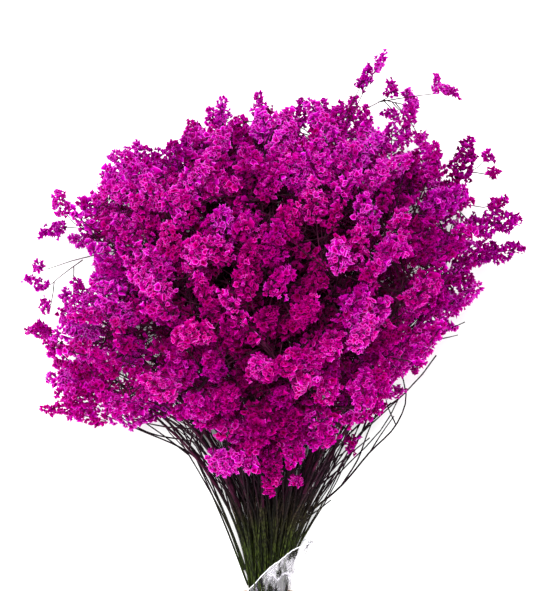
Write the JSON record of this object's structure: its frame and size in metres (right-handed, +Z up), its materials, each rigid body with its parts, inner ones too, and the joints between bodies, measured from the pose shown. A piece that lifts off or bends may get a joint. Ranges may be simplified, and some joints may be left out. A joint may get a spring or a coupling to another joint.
{
  "type": "dried statice bunch",
  "caption": "Fan-shaped bunch of dried, dyed statice lying flat: slim cut stems held by a rubber band over a clear film sleeve, branching into plumes of papery magenta florets.",
  "frame": {"origin": "on the table, under the middle of the bunch's box", "axes": "+Z up from the table, +Y along the bunch from the cut ends to the flowers, +X to the right when seen from above"},
  "size_m": [0.3476, 0.5004, 0.2018],
  "materials": {
    "stem": "matt, dry and finely ridged, olive green at the cut ends and dyed dark purple towards the flowers",
    "floret": "matt, dyed papery florets with lighter pink-violet rims and dark throats",
    "film": "thin, clear, glossy, crinkled wrapping film",
    "band": "matt tan rubber band"
  },
  "bodies": {
    "root": {"stem_01": "stem", "stem_02": "stem", "stem_03": "stem", "stem_04": "stem", "stem_05": "stem", "stem_06": "stem", "stem_07": "stem", "stem_08": "stem", "stem_09": "stem", "stem_10": "stem", "stem_11": "stem", "stem_12": "stem", "stem_13": "stem", "stem_14": "stem", "stem_15": "stem", "stem_16": "stem", "stem_17": "stem", "stem_18": "stem", "stem_19": "stem", "stem_20": "stem", "stem_21": "stem", "stem_22": "stem", "stem_23": "stem", "stem_24": "stem", "stem_25": "stem", "stem_26": "stem", "stem_27": "stem", "stem_28": "stem", "spray_01": "floret", "spray_02": "floret", "spray_03": "floret", "spray_04": "floret", "spray_05": "floret", "spray_06": "floret", "spray_07": "floret", "spray_08": "floret", "spray_09": "floret", "spray_10": "floret", "spray_11": "floret", "spray_12": "floret", "spray_13": "floret", "spray_14": "floret", "spray_15": "floret", "spray_16": "floret", "spray_17": "floret", "spray_18": "floret", "spray_19": "floret", "spray_20": "floret", "spray_21": "floret", "spray_22": "floret", "spray_23": "floret", "spray_24": "floret", "spray_25": "floret", "spray_26": "floret", "spray_27": "floret", "spray_28": "floret", "film_sleeve": "film", "band": "band"}
  },
  "joints": []
}
